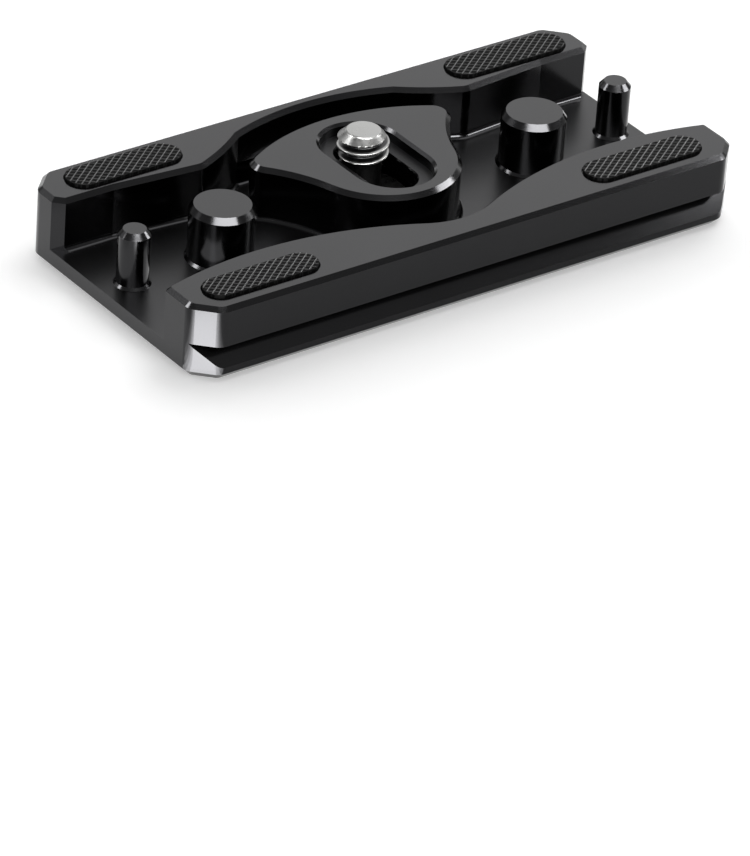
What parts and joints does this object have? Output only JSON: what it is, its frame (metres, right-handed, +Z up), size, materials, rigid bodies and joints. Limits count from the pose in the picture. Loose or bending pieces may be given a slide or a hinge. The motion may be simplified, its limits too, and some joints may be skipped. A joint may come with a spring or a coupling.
{
  "type": "tripod quick release plate",
  "caption": "Camera plate for a dovetail tripod clamp: milled plate with an open channel between rails, posts, grip pads and a captive camera screw that slides in a slot.",
  "frame": {"origin": "centre of the bottom face, which is the bottom centre of the bounding box", "axes": "+X along the plate, +Y to the long edge with the scale, +Z up to the camera"},
  "size_m": [0.079, 0.0372, 0.0117],
  "materials": {
    "anodised_aluminium": "matt black anodised, with brighter broken edges",
    "screw_steel": "bright turned steel",
    "pad_rubber": "black, with fine diamond ribs"
  },
  "bodies": {
    "plate": {"base_plate": "anodised_aluminium", "pad_front_left": "pad_rubber", "pad_front_right": "pad_rubber", "pad_rear_left": "pad_rubber", "pad_rear_right": "pad_rubber"},
    "screw": {"camera_screw": "screw_steel"}
  },
  "joints": [
    {"name": "screw_slide", "type": "slide", "parent": "plate", "child": "screw", "axis": [0, 1, 0], "range_m": [-0.0065, 0.0004]}
  ]
}
